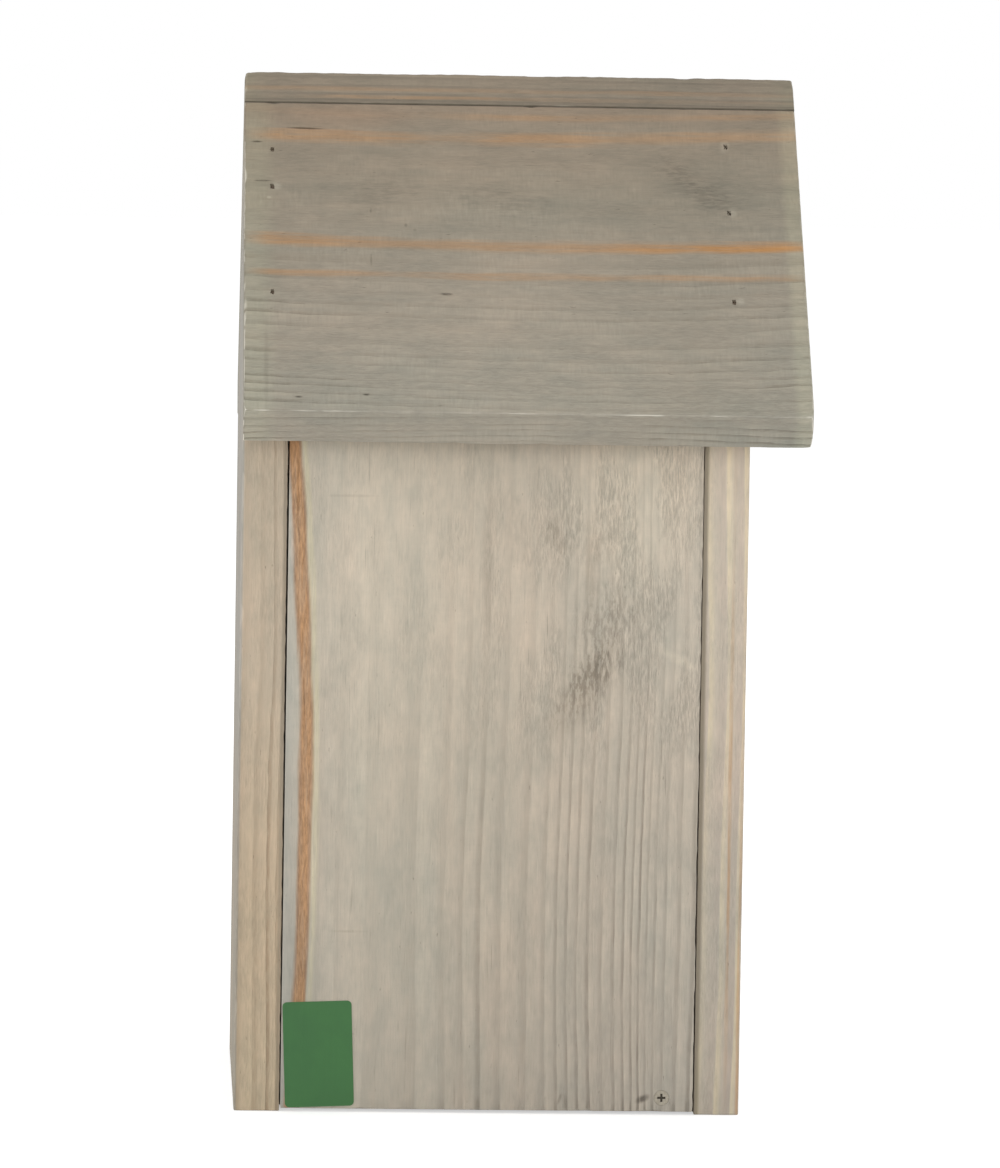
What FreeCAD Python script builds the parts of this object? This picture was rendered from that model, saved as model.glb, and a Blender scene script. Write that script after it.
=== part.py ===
import FreeCAD, Part
import math
import os

os.makedirs("parts", exist_ok=True)

# A wooden nest box with a pitched roof and a side door for cleaning.
# +Z is up, the front with the entrance hole faces -Y, and the door is on the -X side.
# The origin is on the ground, under the middle of the roof.
# Sizes are in millimetres and angles in degrees.

# Boards
WALL_THICKNESS = 12.0
FLOOR_THICKNESS = 12.0
ROOF_THICKNESS = 12.0
DOOR_THICKNESS = 12.0

# Body and roof
BODY_WIDTH = 130.0
BODY_DEPTH = 135.0
SIDE_HEIGHT = 195.0
ROOF_PITCH = 45.0
EAVE_OVERHANG = 24.0
FRONT_OVERHANG = 15.0

# Holes in the boards
ENTRANCE_DIAMETER = 32.0
ENTRANCE_HEIGHT = 172.0
HANGING_HOLE_DIAMETER = 8.0
HANGING_HOLE_HEIGHT = 225.0
DRAIN_HOLE_DIAMETER = 6.0
DRAIN_HOLE_INSET = 25.0

# Door: how far it stands proud of the boards beside it, and the gaps around it
DOOR_PROUD = 0.6
DOOR_BACK_GAP = 0.45
DOOR_FRONT_GAP = 0.5
DOOR_BASE_GAP = 0.8
DOOR_TOP_GAP = 3.0
DOOR_FLOOR_GAP = 0.5

# Pivot nails of the door
PIVOT_BELOW_EAVE = 8.5
PIVOT_SHANK_DIAMETER = 2.5
PIVOT_HEAD_DIAMETER = 5.0
PIVOT_HEAD_HEIGHT = 1.0
PIVOT_LENGTH = 32.0
PIVOT_POINT = 3.0
PIVOT_RUNNING_FIT = 0.06
PIVOT_END_GAP = 0.5

# Lock screw of the door
LOCK_HEIGHT = 4.5
LOCK_FROM_DOOR_EDGE = 8.2
LOCK_SHANK_DIAMETER = 2.2
LOCK_HEAD_DIAMETER = 4.0
LOCK_HEAD_HEIGHT = 1.2
LOCK_SINK = 0.2
LOCK_GRIP = 7.0
LOCK_POINT = 1.5
LOCK_SLIDING_FIT = 0.06
LOCK_SWING_GAP = 0.6
LOCK_END_GAP = 1.0
RECESS_LENGTH = 2.2
RECESS_WIDTH = 0.6
RECESS_DEPTH = 0.7

# Brads that hold the boards together, cut from flat wire with a small T head
BRAD_WIRE = 1.2
BRAD_WIDTH = 1.6
BRAD_HEAD_WIDTH = 2.2
BRAD_HEAD_HEIGHT = 1.0
BRAD_LENGTH = 32.0
BRAD_POINT = 2.0
BRAD_SET_DEPTH = 0.8
BRAD_FIT = 0.05

# Places of the brads
ROOF_BRADS_BACK = (30.0, 44.0, 83.0)
ROOF_BRADS_FRONT = (26.5, 51.5, 84.5)
ROOF_BRAD_STAGGER = 1.5
RIDGE_BRAD_END_INSET = 30.0
RIDGE_BRAD_COUNT = 3
SIDE_BRAD_HEIGHTS = (40.0, 100.0, 160.0)
FLOOR_BRAD_SPACING = 70.0
SIDE_FLOOR_BRAD_SPACING = 50.0

# Label on the door
LABEL_WIDTH = 18.4
LABEL_HEIGHT = 28.2
LABEL_THICKNESS = 0.2
LABEL_CORNER_RADIUS = 1.2
LABEL_TILT = 2.2
LABEL_INSET = 0.2

# Depths along Y
ROOF_LENGTH = BODY_DEPTH + FRONT_OVERHANG
BACK_Y = ROOF_LENGTH / 2
ROOF_FRONT_Y = -ROOF_LENGTH / 2
FRONT_Y = BACK_Y - BODY_DEPTH
FRONT_INNER_Y = FRONT_Y + WALL_THICKNESS
BACK_INNER_Y = BACK_Y - WALL_THICKNESS
INNER_MIDDLE_Y = (FRONT_INNER_Y + BACK_INNER_Y) / 2

# Widths along X
HALF_WIDTH = BODY_WIDTH / 2
HALF_INNER_WIDTH = HALF_WIDTH - WALL_THICKNESS
FIXED_SIDE_X = HALF_WIDTH - WALL_THICKNESS / 2
DOOR_OUTER_X = -HALF_WIDTH - DOOR_PROUD
DOOR_INNER_X = DOOR_OUTER_X + DOOR_THICKNESS
FLOOR_DOOR_EDGE_X = DOOR_INNER_X + DOOR_FLOOR_GAP

# Roof lines in the XZ plane
PITCH = math.radians(ROOF_PITCH)
SLOPE = math.tan(PITCH)
GABLE_TOP = SIDE_HEIGHT + HALF_WIDTH * SLOPE
RIDGE_TOP = GABLE_TOP + ROOF_THICKNESS / math.cos(PITCH)
SLOPE_LENGTH = (HALF_WIDTH + EAVE_OVERHANG) / math.cos(PITCH)
RIDGE_LAP = ROOF_THICKNESS / math.sin(2 * PITCH)
EAVE_UNDERSIDE = RIDGE_TOP - SLOPE_LENGTH * math.sin(PITCH) - ROOF_THICKNESS * math.cos(PITCH)

# Door and its fasteners
DOOR_BACK_Y = BACK_INNER_Y - DOOR_BACK_GAP
DOOR_FRONT_Y = FRONT_INNER_Y + DOOR_FRONT_GAP
DOOR_TOP = GABLE_TOP + DOOR_OUTER_X * SLOPE - DOOR_TOP_GAP
PIVOT_X = (DOOR_OUTER_X + DOOR_INNER_X) / 2
PIVOT_HEIGHT = EAVE_UNDERSIDE - PIVOT_BELOW_EAVE
LOCK_LENGTH = DOOR_THICKNESS - LOCK_SINK + DOOR_FLOOR_GAP + LOCK_GRIP
LOCK_Y = DOOR_FRONT_Y + LOCK_FROM_DOOR_EDGE

# Signs of X on the two sides of the ridge
DOOR_SIDE = -1
FIXED_SIDE = 1

# Directions
ALONG_X = FreeCAD.Vector(1, 0, 0)
ALONG_Y = FreeCAD.Vector(0, 1, 0)
ALONG_Z = FreeCAD.Vector(0, 0, 1)
ORIGIN = FreeCAD.Vector(0, 0, 0)


def extruded(outline, start_y, end_y):
    """A board whose outline is given in the XZ plane, between two depths."""
    corners = [FreeCAD.Vector(x, start_y, z) for x, z in outline]
    face = Part.Face(Part.makePolygon(corners + corners[:1]))
    return face.extrude(ALONG_Y * (end_y - start_y))


def turned(outline, place, direction):
    """A turned piece: an outline of radius and depth, revolved and set at a place along a direction."""
    corners = [FreeCAD.Vector(radius, 0, depth) for radius, depth in outline]
    face = Part.Face(Part.makePolygon(corners + corners[:1]))
    piece = face.revolve(ORIGIN, ALONG_Z, 360)
    piece.Placement = FreeCAD.Placement(place, FreeCAD.Rotation(ALONG_Z, direction))
    return piece


def cylinder(diameter, length, place, direction):
    """A round cutter that starts at a place and runs along a direction."""
    return Part.makeCylinder(diameter / 2, length, place, direction)


def brad_form(surface, direction, across, fit, cover):
    """The form of a set brad, larger by a fit all round and carried up by a cover over its head."""
    head = BRAD_HEAD_WIDTH / 2 + fit
    shank = BRAD_WIDTH / 2 + fit
    wire = BRAD_WIRE / 2 + fit
    outline = [
        (-head, -cover),
        (head, -cover),
        (head, BRAD_HEAD_HEIGHT),
        (shank, BRAD_HEAD_HEIGHT),
        (shank, BRAD_LENGTH - BRAD_POINT),
        (0, BRAD_LENGTH + fit),
        (-shank, BRAD_LENGTH - BRAD_POINT),
        (-shank, BRAD_HEAD_HEIGHT),
        (-head, BRAD_HEAD_HEIGHT),
    ]
    form = extruded(outline, -wire, wire)
    turn = FreeCAD.Rotation(across, direction.cross(across), direction, "ZXY")
    form.Placement = FreeCAD.Placement(surface + direction * BRAD_SET_DEPTH, turn)
    return form


def brad(surface, direction, across):
    return brad_form(surface, direction, across, 0, 0)


def brad_hole(surface, direction, across):
    """The hole that a brad makes, open past the surface."""
    return brad_form(surface, direction, across, BRAD_FIT, 2 * BRAD_SET_DEPTH)


def brads(places):
    return Part.makeCompound([brad(*place) for place in places])


def drilled(board, *place_lists):
    """A board with the holes of the brads that go through it or end in it."""
    holes = [brad_hole(*place) for places in place_lists for place in places]
    return board.cut(holes)


def roof_point(side, distance):
    """A point on the outer face of the roof, this far down the slope from the ridge."""
    x = side * distance * math.cos(PITCH)
    z = RIDGE_TOP - distance * math.sin(PITCH)
    return x, z


def eave_underside(side):
    x, z = roof_point(side, SLOPE_LENGTH)
    return x - side * ROOF_THICKNESS * math.sin(PITCH), z - ROOF_THICKNESS * math.cos(PITCH)


def roof_brad_places(side):
    """Brads through one roof board, square to its face, into the gables of the back and front panels."""
    into_roof = FreeCAD.Vector(-side * math.sin(PITCH), 0, -math.cos(PITCH))
    down_slope = FreeCAD.Vector(side * math.cos(PITCH), 0, -math.sin(PITCH))
    back_y = BACK_Y - WALL_THICKNESS / 2 + side * ROOF_BRAD_STAGGER
    front_y = FRONT_Y + WALL_THICKNESS / 2 + side * ROOF_BRAD_STAGGER
    places = []
    for y, distances in ((back_y, ROOF_BRADS_BACK), (front_y, ROOF_BRADS_FRONT)):
        for distance in distances:
            x, z = roof_point(side, distance)
            places.append((FreeCAD.Vector(x, y, z), into_roof, down_slope))
    return places


def ridge_brad_places():
    """Brads through the lapping roof board into the upper edge of the other one."""
    into_edge = FreeCAD.Vector(-math.sin(PITCH), 0, -math.cos(PITCH))
    x, z = roof_point(FIXED_SIDE, RIDGE_LAP / 2)
    first = ROOF_FRONT_Y + RIDGE_BRAD_END_INSET
    step = (ROOF_LENGTH - 2 * RIDGE_BRAD_END_INSET) / (RIDGE_BRAD_COUNT - 1)
    spots = [FreeCAD.Vector(x, first + index * step, z) for index in range(RIDGE_BRAD_COUNT)]
    return [(spot, into_edge, ALONG_Y) for spot in spots]


def side_brad_places(face_y, direction):
    spots = [FreeCAD.Vector(FIXED_SIDE_X, face_y, height) for height in SIDE_BRAD_HEIGHTS]
    return [(spot, direction, ALONG_Z) for spot in spots]


def floor_brad_places(face_y, direction):
    half = FLOOR_BRAD_SPACING / 2
    return [(FreeCAD.Vector(x, face_y, FLOOR_THICKNESS / 2), direction, ALONG_X) for x in (-half, half)]


def side_floor_brad_places():
    half = SIDE_FLOOR_BRAD_SPACING / 2
    return [
        (FreeCAD.Vector(HALF_WIDTH, INNER_MIDDLE_Y + offset, FLOOR_THICKNESS / 2), -ALONG_X, ALONG_Y)
        for offset in (-half, half)
    ]


def pivot_place(face_y):
    return FreeCAD.Vector(PIVOT_X, face_y, PIVOT_HEIGHT)


def pivot_nail(face_y, direction):
    """A nail with a flat head let in flush, driven through a panel into the edge of the door."""
    shank = PIVOT_SHANK_DIAMETER / 2
    head = PIVOT_HEAD_DIAMETER / 2
    outline = [
        (0, 0),
        (head, 0),
        (head, PIVOT_HEAD_HEIGHT),
        (shank, PIVOT_HEAD_HEIGHT),
        (shank, PIVOT_LENGTH - PIVOT_POINT),
        (0, PIVOT_LENGTH),
    ]
    return turned(outline, pivot_place(face_y), direction)


def pivot_hole(face_y, direction, fit):
    """The stepped hole of a pivot nail, a little deeper than the nail."""
    shank = PIVOT_SHANK_DIAMETER / 2 + fit
    head = PIVOT_HEAD_DIAMETER / 2 + fit
    outline = [
        (0, -PIVOT_HEAD_HEIGHT),
        (head, -PIVOT_HEAD_HEIGHT),
        (head, PIVOT_HEAD_HEIGHT),
        (shank, PIVOT_HEAD_HEIGHT),
        (shank, PIVOT_LENGTH + PIVOT_END_GAP),
        (0, PIVOT_LENGTH + PIVOT_END_GAP),
    ]
    return turned(outline, pivot_place(face_y), direction)


def lock_place():
    """The middle of the lock screw's head, sunk a little below the face of the door."""
    return FreeCAD.Vector(DOOR_OUTER_X + LOCK_SINK, LOCK_Y, LOCK_HEIGHT)


def lock_screw():
    """A countersunk screw with a cross recess, through the door into the edge of the floor."""
    shank = LOCK_SHANK_DIAMETER / 2
    outline = [
        (0, 0),
        (LOCK_HEAD_DIAMETER / 2, 0),
        (shank, LOCK_HEAD_HEIGHT),
        (shank, LOCK_LENGTH - LOCK_POINT),
        (0, LOCK_LENGTH),
    ]
    screw = turned(outline, lock_place(), ALONG_X)
    arms = []
    for size_y, size_z in ((RECESS_LENGTH, RECESS_WIDTH), (RECESS_WIDTH, RECESS_LENGTH)):
        corner = lock_place() - FreeCAD.Vector(0, size_y / 2, size_z / 2)
        arms.append(Part.makeBox(RECESS_DEPTH, size_y, size_z, corner))
    return screw.cut(arms)


def lock_hole():
    """The countersunk hole of the lock screw through the door."""
    shank = LOCK_SHANK_DIAMETER / 2 + LOCK_SLIDING_FIT
    head = LOCK_HEAD_DIAMETER / 2 + LOCK_SLIDING_FIT
    outline = [
        (0, -LOCK_HEAD_HEIGHT),
        (head, -LOCK_HEAD_HEIGHT),
        (head, 0),
        (shank, LOCK_HEAD_HEIGHT),
        (shank, DOOR_THICKNESS + LOCK_HEAD_HEIGHT),
        (0, DOOR_THICKNESS + LOCK_HEAD_HEIGHT),
    ]
    return turned(outline, lock_place(), ALONG_X)


def lock_socket():
    """The lock screw's hole in the floor's edge, wide enough for the screw to swing out with the door."""
    diameter = LOCK_SHANK_DIAMETER + 2 * LOCK_SWING_GAP
    mouth = FreeCAD.Vector(DOOR_INNER_X, LOCK_Y, LOCK_HEIGHT)
    return cylinder(diameter, DOOR_FLOOR_GAP + LOCK_GRIP + LOCK_END_GAP, mouth, ALONG_X)


# Where the brads go
NEAR_ROOF_BRADS = roof_brad_places(DOOR_SIDE)
FAR_ROOF_BRADS = roof_brad_places(FIXED_SIDE)
RIDGE_BRADS = ridge_brad_places()
FRONT_SIDE_BRADS = side_brad_places(FRONT_Y, ALONG_Y)
BACK_SIDE_BRADS = side_brad_places(BACK_Y, -ALONG_Y)
FRONT_FLOOR_BRADS = floor_brad_places(FRONT_Y, ALONG_Y)
BACK_FLOOR_BRADS = floor_brad_places(BACK_Y, -ALONG_Y)
SIDE_FLOOR_BRADS = side_floor_brad_places()


def gable_panel(start_y, end_y):
    """A front or back panel, the full width of the body, with a gable under the roof."""
    outline = [
        (-HALF_WIDTH, 0),
        (HALF_WIDTH, 0),
        (HALF_WIDTH, SIDE_HEIGHT),
        (0, GABLE_TOP),
        (-HALF_WIDTH, SIDE_HEIGHT),
    ]
    return extruded(outline, start_y, end_y)


def front_panel():
    centre = FreeCAD.Vector(0, FRONT_Y, ENTRANCE_HEIGHT)
    panel = gable_panel(FRONT_Y, FRONT_INNER_Y)
    panel = panel.cut(cylinder(ENTRANCE_DIAMETER, WALL_THICKNESS, centre, ALONG_Y))
    panel = panel.cut(pivot_hole(FRONT_Y, ALONG_Y, BRAD_FIT))
    return drilled(panel, NEAR_ROOF_BRADS, FAR_ROOF_BRADS, FRONT_SIDE_BRADS, FRONT_FLOOR_BRADS)


def back_panel():
    centre = FreeCAD.Vector(0, BACK_INNER_Y, HANGING_HOLE_HEIGHT)
    panel = gable_panel(BACK_INNER_Y, BACK_Y)
    panel = panel.cut(cylinder(HANGING_HOLE_DIAMETER, WALL_THICKNESS, centre, ALONG_Y))
    panel = panel.cut(pivot_hole(BACK_Y, -ALONG_Y, BRAD_FIT))
    return drilled(panel, NEAR_ROOF_BRADS, FAR_ROOF_BRADS, BACK_SIDE_BRADS, BACK_FLOOR_BRADS)


def fixed_side_panel():
    """The side wall between the front and back panels, bevelled to the roof at its top."""
    outline = [
        (HALF_INNER_WIDTH, 0),
        (HALF_WIDTH, 0),
        (HALF_WIDTH, SIDE_HEIGHT),
        (HALF_INNER_WIDTH, SIDE_HEIGHT + WALL_THICKNESS * SLOPE),
    ]
    panel = extruded(outline, FRONT_INNER_Y, BACK_INNER_Y)
    return drilled(panel, FRONT_SIDE_BRADS, BACK_SIDE_BRADS, SIDE_FLOOR_BRADS)


def side_door():
    """The loose side panel, square at its top, that turns out on the pivot nails."""
    outline = [
        (DOOR_OUTER_X, DOOR_BASE_GAP),
        (DOOR_INNER_X, DOOR_BASE_GAP),
        (DOOR_INNER_X, DOOR_TOP),
        (DOOR_OUTER_X, DOOR_TOP),
    ]
    door = extruded(outline, DOOR_FRONT_Y, DOOR_BACK_Y)
    front_pivot = pivot_hole(FRONT_Y, ALONG_Y, PIVOT_RUNNING_FIT)
    back_pivot = pivot_hole(BACK_Y, -ALONG_Y, PIVOT_RUNNING_FIT)
    return door.cut([front_pivot, back_pivot, lock_hole()])


def floor_board():
    outline = [
        (FLOOR_DOOR_EDGE_X, 0),
        (HALF_INNER_WIDTH, 0),
        (HALF_INNER_WIDTH, FLOOR_THICKNESS),
        (FLOOR_DOOR_EDGE_X, FLOOR_THICKNESS),
    ]
    board = extruded(outline, FRONT_INNER_Y, BACK_INNER_Y)
    drains = []
    for x in (FLOOR_DOOR_EDGE_X + DRAIN_HOLE_INSET, HALF_INNER_WIDTH - DRAIN_HOLE_INSET):
        for y in (FRONT_INNER_Y + DRAIN_HOLE_INSET, BACK_INNER_Y - DRAIN_HOLE_INSET):
            drains.append(cylinder(DRAIN_HOLE_DIAMETER, FLOOR_THICKNESS, FreeCAD.Vector(x, y, 0), ALONG_Z))
    board = board.cut(drains + [lock_socket()])
    return drilled(board, FRONT_FLOOR_BRADS, BACK_FLOOR_BRADS, SIDE_FLOOR_BRADS)


def roof_board_door_side():
    """The roof board over the door. Its upper edge butts against the underside of the other board."""
    outline = [
        roof_point(DOOR_SIDE, RIDGE_LAP),
        roof_point(DOOR_SIDE, SLOPE_LENGTH),
        eave_underside(DOOR_SIDE),
        (0, GABLE_TOP),
    ]
    board = extruded(outline, ROOF_FRONT_Y, BACK_Y)
    return drilled(board, NEAR_ROOF_BRADS, RIDGE_BRADS)


def roof_board_fixed_side():
    """The longer roof board. It laps the other one and ends flush with its outer face."""
    outline = [
        roof_point(FIXED_SIDE, 0),
        roof_point(FIXED_SIDE, SLOPE_LENGTH),
        eave_underside(FIXED_SIDE),
        roof_point(DOOR_SIDE, RIDGE_LAP),
    ]
    board = extruded(outline, ROOF_FRONT_Y, BACK_Y)
    return drilled(board, FAR_ROOF_BRADS, RIDGE_BRADS)


def label():
    """A thin blank label with round corners at the lower back corner of the door."""
    tilt = math.radians(LABEL_TILT)
    half_reach_y = (LABEL_WIDTH * math.cos(tilt) + LABEL_HEIGHT * math.sin(tilt)) / 2
    half_reach_z = (LABEL_HEIGHT * math.cos(tilt) + LABEL_WIDTH * math.sin(tilt)) / 2
    sheet = Part.makeBox(
        LABEL_THICKNESS, LABEL_WIDTH, LABEL_HEIGHT, FreeCAD.Vector(0, -LABEL_WIDTH / 2, -LABEL_HEIGHT / 2)
    )
    corners = [edge for edge in sheet.Edges if math.isclose(edge.Length, LABEL_THICKNESS)]
    sheet = sheet.makeFillet(LABEL_CORNER_RADIUS, corners)
    middle = FreeCAD.Vector(
        DOOR_OUTER_X - LABEL_THICKNESS,
        DOOR_BACK_Y - LABEL_INSET - half_reach_y,
        DOOR_BASE_GAP + LABEL_INSET + half_reach_z,
    )
    sheet.Placement = FreeCAD.Placement(middle, FreeCAD.Rotation(-ALONG_X, LABEL_TILT))
    return sheet


PIECES = {
    "back_panel": back_panel(),
    "front_panel": front_panel(),
    "fixed_side_panel": fixed_side_panel(),
    "side_door": side_door(),
    "floor_board": floor_board(),
    "roof_board_door_side": roof_board_door_side(),
    "roof_board_fixed_side": roof_board_fixed_side(),
    "roof_nails_door_side": brads(NEAR_ROOF_BRADS),
    "roof_nails_fixed_side": brads(FAR_ROOF_BRADS),
    "ridge_nails": brads(RIDGE_BRADS),
    "front_side_nails": brads(FRONT_SIDE_BRADS),
    "back_side_nails": brads(BACK_SIDE_BRADS),
    "front_floor_nails": brads(FRONT_FLOOR_BRADS),
    "back_floor_nails": brads(BACK_FLOOR_BRADS),
    "side_floor_nails": brads(SIDE_FLOOR_BRADS),
    "pivot_nail_front": pivot_nail(FRONT_Y, ALONG_Y),
    "pivot_nail_back": pivot_nail(BACK_Y, -ALONG_Y),
    "lock_screw": lock_screw(),
    "label": label(),
}

for name, piece in PIECES.items():
    piece.exportStep(f"parts/{name}.step")
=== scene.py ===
import dataclasses
import itertools
import math
import random

import bmesh
import bpy
from mathutils import Matrix, Vector, noise
from mathutils.geometry import delaunay_2d_cdt


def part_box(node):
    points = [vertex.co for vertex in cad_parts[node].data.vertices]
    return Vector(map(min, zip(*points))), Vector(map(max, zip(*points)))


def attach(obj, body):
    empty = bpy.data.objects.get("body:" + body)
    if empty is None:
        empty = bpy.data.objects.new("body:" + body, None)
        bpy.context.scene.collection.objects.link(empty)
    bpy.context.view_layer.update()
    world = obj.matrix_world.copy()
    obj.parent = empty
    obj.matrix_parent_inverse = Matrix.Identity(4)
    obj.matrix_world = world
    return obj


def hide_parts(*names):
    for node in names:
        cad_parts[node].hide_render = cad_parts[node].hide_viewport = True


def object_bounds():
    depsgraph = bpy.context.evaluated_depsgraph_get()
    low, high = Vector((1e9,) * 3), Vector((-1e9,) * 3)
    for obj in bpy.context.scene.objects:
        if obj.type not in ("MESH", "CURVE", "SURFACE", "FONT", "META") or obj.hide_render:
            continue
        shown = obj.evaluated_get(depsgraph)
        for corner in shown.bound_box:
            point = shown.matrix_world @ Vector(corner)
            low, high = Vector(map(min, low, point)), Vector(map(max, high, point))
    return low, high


# A weathered wooden nest box on a white table.
# The frame is in metres. Sizes here are in millimetres, and MM turns them into metres.

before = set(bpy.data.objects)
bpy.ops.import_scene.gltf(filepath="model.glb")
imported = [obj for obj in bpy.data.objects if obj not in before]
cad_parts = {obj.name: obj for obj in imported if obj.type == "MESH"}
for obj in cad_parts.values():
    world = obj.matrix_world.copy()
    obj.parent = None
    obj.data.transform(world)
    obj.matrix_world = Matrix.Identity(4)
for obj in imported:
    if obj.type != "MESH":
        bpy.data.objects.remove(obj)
cad_low, cad_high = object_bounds()

MM = 0.001

# How boards wear
WELD = 0.001
FLAT_ANGLE = math.radians(0.5)
SHARP_ANGLE = math.radians(20)
IN_FRONT = 0.001
DOOR_HANG = 0.001
ARRIS_ROUND = 0.3
ARRIS_STEPS = 3
ARRIS_SPACING = 1.0
WHOLE_ARRIS = 0.7
WEAR_REACH = 1.6 * ARRIS_ROUND
PLAIN_WEAR = 0.95
SLOW_WEAR = 0.55
SLOW_LENGTH = 21.0
QUICK_WEAR = 0.4
QUICK_LENGTH = 2.3
CHIP_WEAR = 6.0
CHIP_LENGTH = 7.0
CHIP_FROM = 0.32
LEAST_WEAR = 0.3
MOST_WEAR = 3.2
WEAR_SHIFT = (13.7, 5.1, 9.3)
PLAIN_FRAY = 0.6
MOST_FRAY = 0.2
FRAY_LENGTH = 2.6
FRAY_REACH = 0.6
TORN_EDGE = 1.5
TORN_CUTS = 3
TORN_SHARE = (0.6, 0.92)
MOUTH_MARGIN = 1.05
SOFT_HOLE_RADIUS = 2.8
HOLE_ROUND = 0.35
HOLE_STEPS = 2
OUTER_FACE = 1
ARRIS_FACE = 2
WITHIN_RIM = 1
CLOSE_POINTS = 0.000001

# Planes that the boards are measured from
ROOF_PITCH = math.radians(45)
RIDGE_TOP = cad_high.z / MM
ROOF_FRONT_Y = cad_low.y / MM
BACK_Y = cad_high.y / MM
EAVE_X = cad_low.x / MM
EAVE_Z = RIDGE_TOP + EAVE_X * math.tan(ROOF_PITCH)
EAVE_DROP = 8.5
DOOR_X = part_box("side_door")[0].x / MM
FRONT_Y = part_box("front_panel")[0].y / MM
FIXED_SIDE_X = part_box("fixed_side_panel")[1].x / MM
PANEL_EDGE_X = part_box("front_panel")[0].x / MM
FRONT_INNER_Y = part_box("front_panel")[1].y / MM
BACK_INNER_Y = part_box("back_panel")[0].y / MM
DOOR_FRONT_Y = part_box("side_door")[0].y / MM
DOOR_BACK_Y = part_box("side_door")[1].y / MM
DOOR_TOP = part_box("side_door")[1].z / MM
SOFTER_BELOW = 0.6 * DOOR_TOP
LOCK_FACE_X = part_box("lock_screw")[0].x / MM
LOCK_MIDDLE = (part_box("lock_screw")[0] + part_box("lock_screw")[1]) / (2 * MM)

# The camera of the photograph: its place, its turns in degrees and its lens
CAMERA_PLACE = (-1988.6, 95.0, 267.7)
CAMERA_YAW = 2.648
CAMERA_PITCH = -3.747
CAMERA_ROLL = -0.905
CAMERA_LENS = 223.7
CAMERA_SENSOR = 36.0

# Studio, in metres
WORLD_LEVEL = 0.62
LAMP_TARGET = (-0.06, 0.0, 0.13)
LAMP_SIZE = 1.6
KEY_PLACE = (-2.0, 0.3, 0.14)
KEY_LEVEL = 0.57
FILL_PLACE = (-0.35, 2.0, 0.5)
FILL_LEVEL = 0.35
FAR_PLACE = (1.5, -1.6, 0.9)
FAR_LEVEL = 0.4
FLOOR_SIZE = 30.0
FLOOR_BELOW = 0.0001
FLOOR_COLOUR = (0.8, 0.8, 0.8)
FLOOR_GLOW = 0.55


def shade(red, green, blue):
    """A colour from its screen values, 0 to 255, as the linear colour that a socket takes."""
    linear = []
    for part in (red / 255, green / 255, blue / 255):
        linear.append(part / 12.92 if part <= 0.04045 else ((part + 0.055) / 1.055) ** 2.4)
    return tuple(linear)


def add_object(name, data):
    """A new object in the scene."""
    made = bpy.data.objects.new(name, data)
    bpy.context.scene.collection.objects.link(made)
    return made


# Nodes

SEED_STEPS = (7.31, 3.17, 5.73)


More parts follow.
